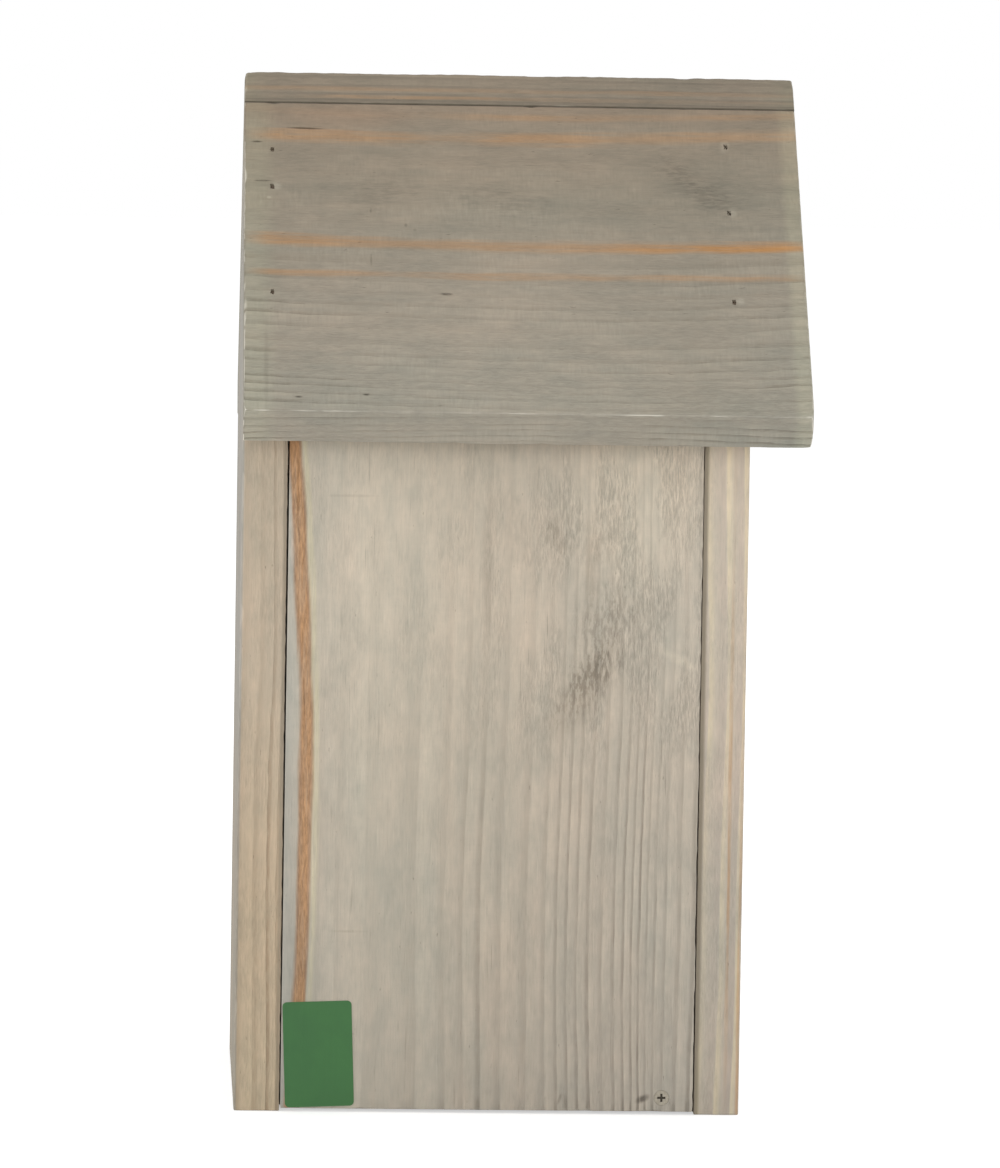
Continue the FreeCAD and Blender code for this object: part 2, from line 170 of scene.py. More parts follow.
class Value:
    """A socket in a material. Arithmetic on it adds Math nodes to that material."""

    def __init__(self, tree, socket=None):
        self.tree = tree
        self.socket = socket

    def node(self, kind, settings=None, inputs=None, output=0):
        """Adds a node of this kind, makes its settings, fills its sockets and gives one output."""
        made = self.tree.nodes.new("ShaderNode" + kind)
        for name, setting in (settings or {}).items():
            if name == "stops":
                place_stops(made.color_ramp, setting)
            else:
                setattr(made, name, setting)
        for name, value in (inputs or {}).items():
            socket = made.inputs[name]
            if isinstance(value, Value):
                self.tree.links.new(value.socket, socket)
            else:
                socket.default_value = (*value, 1.0) if socket.type == "RGBA" else value
        return Value(self.tree, made.outputs[output] if made.outputs else None)

    def math(self, operation, *terms):
        return self.node("Math", {"operation": operation}, dict(enumerate(terms)))

    def vector(self, operation, terms, output=0):
        return self.node("VectorMath", {"operation": operation}, terms, output)

    def __add__(self, other):
        return self.math("ADD", self, other)

    def __radd__(self, other):
        return self.math("ADD", other, self)

    def __sub__(self, other):
        return self.math("SUBTRACT", self, other)

    def __rsub__(self, other):
        return self.math("SUBTRACT", other, self)

    def __mul__(self, other):
        return self.math("MULTIPLY", self, other)

    def __rmul__(self, other):
        return self.math("MULTIPLY", other, self)

    def __truediv__(self, other):
        return self.math("DIVIDE", self, other)

    def __pow__(self, other):
        return self.math("POWER", self, other)

    def __abs__(self):
        return self.math("ABSOLUTE", self)

    def floor(self):
        return self.math("FLOOR", self)

    def fraction(self):
        return self.math("FRACT", self)

    def sine(self):
        return self.math("SINE", self)

    def most(self, other):
        return self.math("MAXIMUM", self, other)

    def swing(self):
        """This value, which goes from 0 to 1, as a swing to both sides of 0."""
        return self - 0.5

    def rise(self, low, high):
        """0 at low, 1 at high, and a smooth rise between them. High may be the smaller one."""
        inputs = {"Value": self, "From Min": low, "From Max": high}
        return self.node("MapRange", {"interpolation_type": "SMOOTHSTEP"}, inputs)

    def ramp(self, stops):
        """The colour or level at this value, from (value, colour or level) stops."""
        low, high = stops[0][0], stops[-1][0]
        shares = [((at - low) / (high - low), level) for at, level in stops]
        return self.node("ValToRGB", {"stops": shares}, {"Fac": (self - low) / (high - low)})

    def dot(self, direction):
        return self.vector("DOT_PRODUCT", {0: self, 1: direction}, "Value")

    def scaled(self, factor):
        """This colour or vector, times a value."""
        return self.vector("SCALE", {0: self, "Scale": factor})

    def times(self, colour):
        """This colour, times another colour."""
        return self.vector("MULTIPLY", {0: self, 1: colour})

    def between(self, low, high):
        """A colour that goes from one to another while this value goes from 0 to 1."""
        return self.node("Mix", {"data_type": "RGBA"}, {0: self, 6: low, 7: high}, 2)

    def towards(self, colour, share):
        """This colour, mixed with another one by a share from 0 to 1."""
        return share.between(self, colour)

    def grain(self, size, seed, detail=2.0, roughness=0.5):
        """Soft noise from 0 to 1 at this place, with lumps of that size in millimetres."""
        finer = tuple(1 / length for length in size)
        apart = tuple(seed * step for step in SEED_STEPS)
        place = self.vector("MULTIPLY_ADD", {0: self, 1: finer, 2: apart})
        inputs = {"Vector": place, "Scale": 1.0, "Detail": detail, "Roughness": roughness}
        return self.node("TexNoise", {"normalize": True}, inputs)


def place_stops(ramp, stops):
    """Gives a colour ramp these (place, colour or level) stops."""
    while len(ramp.elements) < len(stops):
        ramp.elements.new(1.0)
    for element, (place, level) in zip(ramp.elements, stops):
        element.position = place
        element.color = (*level, 1.0) if isinstance(level, tuple) else (level, level, level, 1.0)


def new_material(name):
    """An empty material, and a value to start its nodes from."""
    material = bpy.data.materials.new(name)
    material.use_nodes = True
    material.node_tree.nodes.clear()
    return material, Value(material.node_tree)


def spot_on(start):
    """The place on a piece at rest, in millimetres."""
    return start.node("TexCoord", {}, {}, "Object").scaled(1 / MM)


def finish_material(start, colour, roughness, height, fixed):
    """The surface of a material. Height is in millimetres, and fixed values go to their sockets."""
    normal = start.node("Bump", {}, {"Height": height * MM, "Distance": 1.0})
    inputs = {"Base Color": colour, "Roughness": roughness, "Normal": normal, **fixed}
    surface = start.node("BsdfPrincipled", {}, inputs)
    start.node("OutputMaterial", {}, {"Surface": surface})


# Wood

# Sizes of its lumps and lines: along the grain, across it and into the board
WANDER_SIZE = (110, 45, 45)
RIPPLE_SIZE = (9, 3, 3)
STREAK_EDGE_SIZE = (24, 1.6, 1.6)
STREAK_BREAK_SIZE = (13, 0.9, 0.9)
FIBRE_SIZE = (6, 0.5, 0.5)
SILK_SIZE = (70, 3.2, 3.2)
MOTTLE_SIZE = (4.5, 1.7, 1.7)
BLOTCH_SIZE = (42, 17, 17)
PATCH_SIZE = (26, 8, 8)
SAW_MARK_SIZE = (0.8, 5.0, 5.0)
BLOOM_SIZE = (8, 5, 5)
STIPPLE_SIZE = (2.6, 0.42, 0.42)
FLECK_SIZE = (3.0, 0.5, 0.5)
CHECK_SIZE = (17, 0.4, 0.4)
CRUMB_SIZE = (2.8, 0.9, 0.9)
RUB_SIZE = (9, 4, 4)

# How far its lines wander, where its stipple rises, and how ragged its marks are
WANDER = 5.0
STIPPLE_BAND = (0.3, 0.7)
MARK_RAGGED = 1.6

# Waves in the width of its rings: how quickly they come, and how strong they are
RING_WAVES = ((0.9, 0.3), (0.37, 0.5))

# How much each pattern warms, lightens or darkens the wash
BLOTCH_WARMTH = 1.2
SILK_WARMTH = 0.7
MOTTLE_WARMTH = 0.5
BLOOM_WARMTH = 0.6
SILK_LEVEL = 0.16
BLOTCH_LEVEL = 0.18
MOTTLE_LEVEL = 0.24
RAISED_LEVEL = 0.3
FLECK_LEVEL = 0.3
BLOOM_LEVEL = 0.2
STREAK_STIPPLE = 0.45

# How far each pattern raises or lowers the surface, and how dull it is
FIBRE_HEIGHT = 0.5
MOTTLE_HEIGHT = 0.08
RAISED_HEIGHT = 0.1
LATE_DEPTH = 0.12
FLECK_DEPTH = 0.12
WOOD_ROUGHNESS = 0.82
SILK_ROUGHNESS = 0.16
WOOD_GLOSS = 0.2

# Tints of the wash where it is cool and where it is warm, and a dark colour for dirty joints that also
# paints shade into the screw's cross recess
COOL = (0.95, 0.99, 1.0)
WARM = (1.05, 1.0, 0.975)
DIRT_AND_SHADE_COLOUR = shade(62, 56, 46)


@dataclasses.dataclass
class Streak:
    """A line of bare, resin-rich wood along the grain. Levels say how strong it is along the board."""

    at: float
    width: float
    colour: tuple
    levels: list
    bow: float = 0.0
    bow_from: float = 0.0
    rim: float = 0.0
    solid: float = 0.45
    in_edge: bool = False


@dataclasses.dataclass
class Mark:
    """A patch with a tint of its own: its middle and half sizes along and across, and its lean."""

    along: float
    across: float
    length: float
    width: float
    tint: tuple
    lean: float = 0.0
    broken: float = 0.0


@dataclasses.dataclass
class DirtAndShadeBand:
    """A dark band along a joint: dirty joints on the roof and the fixed side, painted shade beside the door
    gap. Where it lies across the board, or across its edge, and how far it reaches.
    """

    at: float
    reach: float
    strength: float
    edge: float | None = None
    colour: tuple = DIRT_AND_SHADE_COLOUR


@dataclasses.dataclass
class Wood:
    """How one board lies in its tree, what wash and weather have left on it, and the painted shade and
    light that some boards carry.
    """

    corner: tuple
    along: tuple
    across: tuple
    inward: tuple
    pith: tuple
    ring: float
    tones: list
    fade: list
    lines_across: list
    lines_along: list
    seed: float
    late: float = 0.32
    line_colour: tuple = (0.62, 0.62, 0.61)
    early_colour: tuple = (1.06, 1.06, 1.05)
    drift: float = 0.0
    bow: float = 0.0
    bow_from: float = 0.0
    bands: float = 1.0
    saw_marks: float = 0.0
    waver: float = 1.0
    breaks: float = 0.6
    threads: float = 0.24
    clouds: float = 0.14
    checks: float = 0.1
    fuzz: tuple = ((-100, 0.4), (130, 0.4))
    fuzz_along: tuple = ((-100, 1.0), (300, 1.0))
    rub: tuple = ((-100, 0.2), (130, 0.2))
    rub_along: tuple = ((-100, 1.0), (300, 1.0))
    face_tone: tuple = ()
    streaks: tuple = ()
    marks: tuple = ()
    dirt_and_shade_bands: tuple = ()


def bowed(along, bow, bow_from):
    """How far a line along the grain bends aside at each place along it."""
    return (along - bow_from) * (along - bow_from) * bow


def growth_lines(place, along, across, inward, wood):
    """Dark lines of late growth, and the pale wood after each, where the board cuts its tree's rings."""
    wander = place.grain(WANDER_SIZE, wood.seed + 0.3, 1.0).swing()
    ripple = place.grain(RIPPLE_SIZE, wood.seed + 0.6, 2.0).swing()
    aside = across + along * wood.drift - bowed(along, wood.bow, wood.bow_from)
    aside = aside + wander * WANDER + ripple * wood.waver - wood.pith[0]
    below = inward - wood.pith[1]
    rings = (aside * aside + below * below) ** 0.5 / wood.ring
    uneven = rings
    for pace, strength in RING_WAVES:
        uneven = uneven + (rings * pace).sine() * strength
    season = uneven.fraction()
    each = place.node("TexWhiteNoise", {"noise_dimensions": "1D"}, {"W": uneven.floor() + wood.seed})
    late = season.rise(1 - wood.late, 1 - 0.3 * wood.late) * season.rise(1.0, 0.95)
    early = season.rise(0.45, 0.1) * season.rise(0.0, 0.06)
    return late * (0.35 + 0.65 * each), early


def streak_mask(place, along, across, streak, seed):
    """Where one streak lies and where its rim is, from 0 to 1, feathered and broken along the grain."""
    ragged = place.grain(STREAK_EDGE_SIZE, seed, 3.0).swing() * streak.width * (1.3 - streak.solid)
    aside = across + ragged - bowed(along, streak.bow, streak.bow_from) - streak.at
    aside = abs(aside) / streak.width
    broken = place.grain(STREAK_BREAK_SIZE, seed + 0.5, 3.0).rise(0.3, 0.6)
    broken = broken * (1 - streak.solid) + streak.solid
    lies = aside.rise(1 - 0.4 * streak.solid, 0.3 * streak.solid) * along.ramp(streak.levels) * broken
    return lies, lies * aside.rise(0.22, 0.46) * streak.rim


def mark_mask(along, across, mark, crumbs, mottle):
    """Where one mark lies, from 0 to 1, ragged and broken up by the crumbs of the wash."""
    up = along - mark.along
    side = across - mark.across + up * mark.lean
    reach = (up * up / mark.length**2 + side * side / mark.width**2) ** 0.5
    ragged = reach + mottle.swing() * mark.broken * MARK_RAGGED
    return ragged.rise(1.0, 0.2) * (1 - mark.broken + crumbs * mark.broken)


def wood_material(name, wood):
    """Grey-washed, weathered softwood, as a solid pattern that follows the board's own grain."""
    material, start = new_material(name)
    spot = spot_on(start)
    corner = Vector(wood.corner)
    along = spot.dot(wood.along) - corner.dot(Vector(wood.along))
    across = spot.dot(wood.across) - corner.dot(Vector(wood.across))
    inward = spot.dot(wood.inward) - corner.dot(Vector(wood.inward))
    place = start.node("CombineXYZ", {}, {0: along, 1: across, 2: inward})

    fibre = place.grain(FIBRE_SIZE, wood.seed + 1, 3.0, 0.6)
    silk = place.grain(SILK_SIZE, wood.seed + 2, 3.0, 0.5)
    mottle = place.grain(MOTTLE_SIZE, wood.seed + 3, 3.0, 0.6)
    blotch = place.grain(BLOTCH_SIZE, wood.seed + 4, 2.0)
    patch = place.grain(PATCH_SIZE, wood.seed + 5, 2.0)
    ticks = place.grain(SAW_MARK_SIZE, wood.seed + 6, 2.0, 0.6)
    bloom = place.grain(BLOOM_SIZE, wood.seed + 12, 2.0)
    stipple = place.grain(STIPPLE_SIZE, wood.seed + 7, 3.0, 0.65)

    colour = across.ramp(wood.tones)
    if wood.face_tone:
        colour = colour.towards(wood.face_tone, inward.rise(0.9, 0.3))
    colour = colour.times(along.ramp(wood.fade))
    warmth = blotch.swing() * BLOTCH_WARMTH + silk.swing() * SILK_WARMTH * wood.bands
    warmth = warmth + mottle.swing() * MOTTLE_WARMTH + bloom.swing() * BLOOM_WARMTH
    colour = colour.times(warmth.ramp([(-0.5, COOL), (0.5, WARM)]))

    for number, streak in enumerate(wood.streaks):
        aside = inward if streak.in_edge else across
        lies, rim = streak_mask(place, along, aside, streak, wood.seed + 8 + number)
        colour = colour.towards(streak.colour, lies)
        if streak.rim:
            colour = colour.towards(colour.times(STREAK_RIM), rim)
            colour = colour.scaled(1 + stipple.rise(*STIPPLE_BAND).swing() * lies * STREAK_STIPPLE)

    late, early = growth_lines(place, along, across, inward, wood)
    kept = patch.rise(0.34, 0.58) * wood.breaks + 1 - wood.breaks
    shown = across.ramp(wood.lines_across) * along.ramp(wood.lines_along) * kept
    late = late * shown * (1 - 0.5 * wood.waver + wood.waver * mottle.rise(0.32, 0.68))
    colour = colour.towards(colour.times(wood.line_colour), late)
    colour = colour.towards(colour.times(wood.early_colour), early * shown)

    raised = stipple.rise(*STIPPLE_BAND).swing() * patch.rise(0.62, 0.4)
    raised = raised * across.ramp(wood.fuzz) * along.ramp(wood.fuzz_along)
    flecks = place.grain(FLECK_SIZE, wood.seed + 8, 2.0, 0.6).rise(0.70, 0.78) * mottle.rise(0.4, 0.6)
    level = 1.0 + silk.swing() * SILK_LEVEL * wood.bands + blotch.swing() * BLOTCH_LEVEL
    level = level + patch.swing() * wood.clouds + mottle.swing() * MOTTLE_LEVEL
    level = level + fibre.swing() * wood.threads + raised * RAISED_LEVEL - flecks * FLECK_LEVEL
    cracks = place.grain(CHECK_SIZE, wood.seed + 10, 2.0)
    cracks = cracks.rise(0.66, 0.76) * blotch.rise(0.42, 0.58) - cracks.rise(0.34, 0.26) * 0.4
    level = level - cracks * wood.checks + bloom.swing() * BLOOM_LEVEL
    level = level + ticks.swing() * patch.rise(0.4, 0.65) * wood.saw_marks
    colour = colour.scaled(level)

    crumbs = place.grain(CRUMB_SIZE, wood.seed + 11, 3.0, 0.65).rise(0.42, 0.56)
    for mark in wood.marks:
        colour = colour.towards(colour.times(mark.tint), mark_mask(along, across, mark, crumbs, mottle))

    worn = start.node("Attribute", {"attribute_name": "worn"}, {}, "Fac")
    rubbed = worn * place.grain(RUB_SIZE, wood.seed + 9, 2.0).rise(0.4, 0.58)
    rubbed = rubbed * across.ramp(wood.rub) * along.ramp(wood.rub_along)
    # Dark bands along joints: dirty joints on the roof and the fixed side, painted shade beside the door
    # gap on the front and back panels
    for line in wood.dirt_and_shade_bands:
        aside = abs((across if line.edge is None else inward) - line.at)
        dirt_and_shade = aside.rise(line.reach, line.reach * 0.4) * line.strength
        if line.edge is not None:
            dirt_and_shade = dirt_and_shade * abs(across - line.edge).rise(1.6, 0.6)
        colour = colour.towards(line.colour, dirt_and_shade)
        rubbed = rubbed * (1 - dirt_and_shade)
    colour = colour.towards(RUBBED, rubbed)

    height = fibre.swing() * wood.threads * FIBRE_HEIGHT + mottle.swing() * MOTTLE_HEIGHT
    height = height + raised * RAISED_HEIGHT - late * LATE_DEPTH - flecks * FLECK_DEPTH
    roughness = WOOD_ROUGHNESS + silk.swing() * SILK_ROUGHNESS
    finish_material(start, colour, roughness, height, {"Specular IOR Level": WOOD_GLOSS})
    return material


# The boards' own grain

SLOPE_DOWN = math.cos(ROOF_PITCH)
SLOPE_IN = math.sin(ROOF_PITCH)
BARE_PINE = shade(178, 142, 106)
RESIN_PINE = shade(188, 140, 90)
RED_PINE = shade(179, 138, 100)
PALE_PINE = shade(204, 195, 164)
STREAK_RIM = (0.66, 0.58, 0.54)
RUBBED = shade(222, 217, 203)
SMUDGE = (0.76, 0.75, 0.73)
SOFT_SMUDGE = (0.86, 0.85, 0.84)
FAINT_SMUDGE = (0.89, 0.89, 0.89)
WARM_WASH = (1.11, 1.03, 0.99)
CRACK = (0.36, 0.35, 0.34)
BRUISE = (1.32, 1.34, 1.36)
PALE_RUB = (1.14, 1.14, 1.12)
TICK = (0.72, 0.71, 0.70)
COOL_WASH = (0.88, 0.90, 0.92)
RED_WASH = (0.90, 0.85, 0.82)

WOODS = {
    "roof_board_door_side": Wood(
        corner=(0, 0, RIDGE_TOP),
        along=(0, 1, 0),
        across=(-SLOPE_DOWN, 0, -SLOPE_IN),
        inward=(SLOPE_IN, 0, -SLOPE_DOWN),
        pith=(-6, 150),
        ring=2.3,
        bow=-0.0005,
        # The last stop paints the end face along the eave a little lighter: painted light for a face that
        # turns down from the lamps
        tones=[(12, shade(153, 138, 120)), (22, shade(154, 142, 125)), (45, shade(153, 144, 128)),
               (85, shade(164, 155, 140)), (125, shade(165, 159, 145)), (126, shade(168, 162, 149))],
        late=0.5,
        line_colour=(0.76, 0.75, 0.73),
        early_colour=(1.05, 1.05, 1.04),
        fade=[(-75, (1.14, 1.18, 1.14)), (-71.8, (1.12, 1.16, 1.12)), (-69.5, (0.935, 0.955, 0.965)),
              (-45, (0.945, 0.95, 0.95)), (0, (1.0, 1.0, 1.0)), (66, (0.96, 0.96, 0.96)),
              (70.5, (1.02, 1.06, 1.03)), (74.8, (1.06, 1.10, 1.07)), (75, (0.80, 0.83, 0.84))],
        waver=1.4,
        lines_across=[(12, 0.2), (58, 0.18), (75, 0.45), (95, 0.8), (126, 1.0)],
        lines_along=[(-75, 1.3), (-64, 1.0), (-45, 0.75), (-10, 0.5), (30, 0.5), (60, 0.8), (68, 1.2),
                     (75, 1.5)],
        saw_marks=0.3,
        bands=0.7,
        breaks=0.8,
        threads=0.2,
        clouds=0.24,
        checks=0.16,
        fuzz=((12, 0.35), (80, 0.4), (126, 0.6)),
        rub=((12, 0.12), (118, 0.12), (124, 0.85), (126, 0.85)),
        rub_along=((-75, 1.6), (-74, 1.0), (-72.5, 0.1), (-58, 0.2), (-52, 0.9), (-28, 0.9), (-22, 0.1),
                   (-3, 0.1), (2, 0.7), (14, 0.7), (18, 0.15), (38, 0.15), (43, 0.8), (52, 1.1), (70, 0.9),
                   (72.5, 0.9), (74, 3.0), (75, 5.0)),
        streaks=(
            Streak(25.0, 4.2, BARE_PINE, bow=-0.0003, bow_from=25,
                   levels=[(-75, 0.35), (-66, 0.5), (-48, 0.6), (-28, 0.5), (-12, 0.75), (5, 0.8),
                           (14, 0.4), (24, 0.35), (32, 0.7), (66, 0.85), (71, 0.4), (75, 0.05)]),
            Streak(65.2, 4.0, BARE_PINE, bow=-0.00035, bow_from=-5,
                   levels=[(-75, 0.4), (-70, 0.85), (-45, 0.8), (-10, 0.55), (20, 0.6), (40, 0.55),
                           (52, 0.7), (69, 0.9), (72, 0.4), (75, 0.1)]),
            Streak(65.9, 2.4, RESIN_PINE, bow=-0.00035, bow_from=-5,
                   levels=[(-75, 0.5), (-68, 1.0), (-40, 0.7), (-15, 0.2), (30, 0.15), (66, 0.3),
                           (75, 0.0)]),
            Streak(76.4, 2.3, BARE_PINE, bow=-0.00016,
                   levels=[(-75, 0.1), (-70, 0.6), (-35, 0.6), (-26, 0.35), (-18, 0.6), (-6, 0.4),
                           (12, 0.65), (26, 0.5), (34, 0.2), (44, 0.55), (68, 0.75), (73, 0.2), (75, 0.0)]),
            Streak(16.6, 2.4, BARE_PINE, bow=-0.0004, bow_from=0,
                   levels=[(-75, 0.3), (-55, 0.45), (-30, 0.35), (-15, 0.55), (12, 0.5), (25, 0.1),
                           (75, 0.1)]),
        ),
        marks=(
            Mark(-47, 42, 15, 12, FAINT_SMUDGE, lean=1.0, broken=0.8),
            Mark(-42, 36, 6, 6, FAINT_SMUDGE, lean=0.8, broken=0.95),
            Mark(-51, 46, 8, 7, FAINT_SMUDGE, lean=0.6, broken=0.95),
            Mark(5, 48, 16, 7, FAINT_SMUDGE, lean=0.2, broken=0.8),
            Mark(38, 45, 12, 8, FAINT_SMUDGE, lean=-0.3, broken=0.8),
            Mark(50, 18, 27, 7, WARM_WASH),
            Mark(58.5, 21.8, 7.0, 0.55, CRACK, lean=0.026),
            Mark(71.6, 27.1, 2.0, 0.5, CRACK, broken=0.4),
            Mark(70.1, 41.9, 3.6, 0.5, CRACK, broken=0.4),
            Mark(68.4, 48.1, 0.9, 0.7, BRUISE),
            Mark(66.4, 43.8, 1.9, 2.4, BRUISE, broken=0.4),
            Mark(-55.2, 26.4, 1.9, 3.0, BRUISE, broken=0.4),
            Mark(-56.3, 51.4, 1.9, 2.4, BRUISE, broken=0.4),
            Mark(-57.2, 84.0, 1.6, 2.0, BRUISE, broken=0.5),
            Mark(31.7, 57.8, 0.6, 0.9, TICK),
            Mark(29.3, 59.4, 0.8, 0.6, TICK, broken=0.4),
            Mark(41.1, 52.5, 0.4, 1.5, TICK, broken=0.3),
            Mark(41.1, 71.0, 0.4, 3.2, TICK, broken=0.5),
            Mark(42.9, 119.8, 1.2, 0.5, CRACK),
            Mark(21.2, 83.1, 2.4, 0.6, CRACK, broken=0.5),
            Mark(60.6, 120.9, 1.4, 0.5, CRACK, broken=0.3),
            Mark(69.1, 110, 0.9, 20, FAINT_SMUDGE),
        ),
        dirt_and_shade_bands=(DirtAndShadeBand(12, 0.5, 0.6),),
        seed=1.0,
    ),
    "roof_board_fixed_side": Wood(
        corner=(0, 0, RIDGE_TOP),
        along=(0, 1, 0),
        across=(SLOPE_DOWN, 0, -SLOPE_IN),
        inward=(-SLOPE_IN, 0, -SLOPE_DOWN),
        pith=(-40, 80),
        ring=2.2,
        drift=-0.008,
        late=0.5,
        line_colour=(0.70, 0.71, 0.72),
        tones=[(0, shade(147, 136, 120)), (20, shade(156, 146, 130)), (60, shade(160, 151, 135)),
               (126, shade(163, 157, 143))],
        fade=[(-75, (1.02, 1.06, 1.03)), (-70, (0.98, 1.0, 1.0)), (-60, (0.96, 0.96, 0.97)),
              (0, (1.0, 1.0, 1.0)), (68, (0.98, 0.98, 0.98)), (74.8, (1.01, 1.05, 1.02)),
              (75, (0.82, 0.86, 0.86))],
        lines_across=[(0, 1.0), (15, 0.6), (60, 0.5), (126, 0.9)],
        lines_along=[(-75, 1.0), (0, 0.8), (75, 1.0)],
        saw_marks=0.15,
        bands=1.2,
        streaks=(
            Streak(46.0, 2.6, BARE_PINE, bow=0.0002,
                   levels=[(-75, 0.6), (0, 0.4), (75, 0.7)]),
            Streak(9.4, 1.3, BARE_PINE, in_edge=True,
                   levels=[(-75, 0.1), (-10, 0.2), (10, 0.5), (45, 0.6), (60, 0.1), (75, 0.0)]),
            Streak(6.4, 1.6, BARE_PINE, in_edge=True,
                   levels=[(-75, 0.1), (-40, 0.35), (0, 0.25), (30, 0.35), (75, 0.3)]),
        ),
        marks=(
            Mark(22, 88, 16, 6, SMUDGE, lean=-0.2, broken=0.7),
            Mark(-30, 60, 22, 9, FAINT_SMUDGE, broken=0.4),
        ),
        dirt_and_shade_bands=(DirtAndShadeBand(12, 0.55, 0.7, edge=0), DirtAndShadeBand(12, 3.4, 0.16, edge=0)),
        seed=2.0,
    ),
    "side_door": Wood(
        corner=(DOOR_X, 0, 0),
        along=(0, 0, 1),
        across=(0, 1, 0),
        inward=(1, 0, 0),
        pith=(34, 46),
        ring=2.35,
        tones=[(-47, shade(191, 182, 167)), (-20, shade(192, 181, 165)), (10, shade(193, 182, 165)),
               (40, shade(198, 189, 172)), (57, shade(194, 184, 168)), (62, shade(186, 181, 169))],
        # Darker towards the bottom: partly the door's own tone, partly painted shade for the light falling
        # off down the door
        fade=[(0, (0.78, 0.79, 0.81)), (40, (0.84, 0.85, 0.86)), (100, (0.94, 0.94, 0.94)),
              (150, (1.01, 1.01, 1.01)), (191, (1.03, 1.03, 1.03))],
        lines_across=[(-47, 1.0), (-25, 0.95), (-5, 0.7), (15, 0.6), (40, 0.36), (62, 0.25)],
        lines_along=[(0, 2.2), (2, 2.0), (4, 1.1), (80, 0.95), (115, 0.65), (150, 0.35), (191, 0.3)],
        saw_marks=0.08,
        fuzz=((-47, 1.2), (-15, 1.1), (10, 0.5), (40, 0.3), (62, 0.3)),
        fuzz_along=((0, 0.5), (8, 0.15), (90, 0.25), (108, 0.9), (160, 1.1), (191, 1.0)),
        late=0.45,
        line_colour=(0.65, 0.64, 0.63),
        waver=0.6,
        bands=0.6,
        threads=0.2,
        clouds=0.22,
        checks=0.26,
        rub=((-47, 0.35), (-44, 0.25), (62, 0.25)),
        streaks=(
            Streak(54.3, 1.8, PALE_PINE, bow=0.000448, bow_from=80,
                   levels=[(0, 0.3), (60, 0.6), (120, 0.7), (191, 0.7)]),
            Streak(56.9, 3.6, RED_PINE, bow=0.000448, bow_from=80, rim=0.9, solid=0.8,
                   levels=[(0, 0.95), (40, 0.95), (100, 0.95), (150, 1.0), (191, 1.0)]),
        ),
        marks=(
            Mark(112, -16.0, 18, 9, SOFT_SMUDGE, lean=0.5, broken=0.25),
            Mark(116.5, -18, 14, 7, SMUDGE, lean=0.62, broken=0.95),
            Mark(131, -23, 15, 9, SOFT_SMUDGE, lean=0.35, broken=0.95),
            Mark(126, -20, 30, 13, FAINT_SMUDGE, lean=0.3, broken=0.9),
            Mark(147, -18, 17, 2.4, SOFT_SMUDGE, broken=0.15),
            Mark(152, -21.5, 7, 4.5, SOFT_SMUDGE, broken=0.95),
            Mark(153.5, -8.4, 8, 4.5, SOFT_SMUDGE, lean=-0.3, broken=0.9),
            Mark(122, -42, 4.4, 3.8, PALE_RUB, lean=-1.4, broken=0.4),
            Mark(172, -30, 46, 26, PALE_RUB),
            Mark(20, 57.5, 62, 4.6, COOL_WASH),
            Mark(187, 61.5, 18, 3.6, RED_WASH),
            Mark(155, 61.3, 13, 0.9, WARM_WASH, broken=0.3),
            Mark(157, 59.8, 7, 0.4, TICK, lean=-0.06, broken=0.5),
            Mark(147, 58.2, 8, 0.4, TICK, lean=-0.06, broken=0.4),
            Mark(108, 57.6, 10, 0.4, TICK, lean=-0.03, broken=0.5),
            Mark(156, 1, 14, 5, FAINT_SMUDGE, lean=-0.1, broken=0.6),
            Mark(146, 9.4, 24, 2.2, FAINT_SMUDGE),
            Mark(4.2, -34.2, 1.7, 2.3, CRACK, lean=0.8, broken=0.2),
            Mark(3.2, -13.6, 2.6, 0.6, TICK, broken=0.3),
            Mark(4.0, -12.0, 2.0, 0.6, TICK, lean=0.3, broken=0.3),
            Mark(164.6, 45.4, 0.6, 8.8, SOFT_SMUDGE, broken=0.3),
            Mark(48.4, 45.0, 0.6, 6.5, SOFT_SMUDGE, broken=0.4),
        ),
        seed=3.0,
    ),
    "front_panel": Wood(
        corner=(0, FRONT_Y, 0),
        along=(0, 0, 1),
        across=(1, 0, 0),
        inward=(0, 1, 0),
        pith=(0, 70),
        ring=2.9,
        tones=[(-65, shade(204, 191, 173)), (-50, shade(194, 183, 166)), (0, shade(192, 182, 165)),
               (65, shade(190, 179, 162))],
        # Darker towards the bottom: partly the panel's own tone, partly painted shade for the light falling
        # off down its edge
        fade=[(0, (0.72, 0.75, 0.77)), (90, (0.85, 0.87, 0.89)), (190, (1.12, 1.12, 1.12)),
              (260, (1.0, 1.0, 1.0))],
        lines_across=[(-65, 1.0), (-40, 0.5), (0, 0.4), (40, 0.6), (65, 0.9)],
        lines_along=[(0, 1.0), (130, 0.8), (260, 0.8)],
        late=0.65,
        line_colour=(0.86, 0.83, 0.86),
        early_colour=(1.2, 1.18, 1.05),
        waver=0.3,
        bands=0.7,
        streaks=(
            Streak(0.6, 0.8, BARE_PINE, in_edge=True,
                   levels=[(0, 0.7), (60, 0.5), (100, 0.1), (260, 0.0)]),
            Streak(3.7, 0.9, BARE_PINE, in_edge=True,
                   levels=[(0, 0.0), (25, 0.4), (60, 0.7), (110, 0.6), (150, 0.2), (260, 0.1)]),
            Streak(-28.0, 2.6, BARE_PINE, bow=0.0001, bow_from=120,
                   levels=[(0, 0.5), (120, 0.35), (260, 0.6)]),
        ),
        marks=(
            Mark(70, 22, 20, 6, SMUDGE, lean=0.1, broken=0.7),
            Mark(120, -20, 30, 10, FAINT_SMUDGE, broken=0.5),
        ),
        # Painted shade: a brown band on the panel's edge beside the door gap, as on an arris in shadow
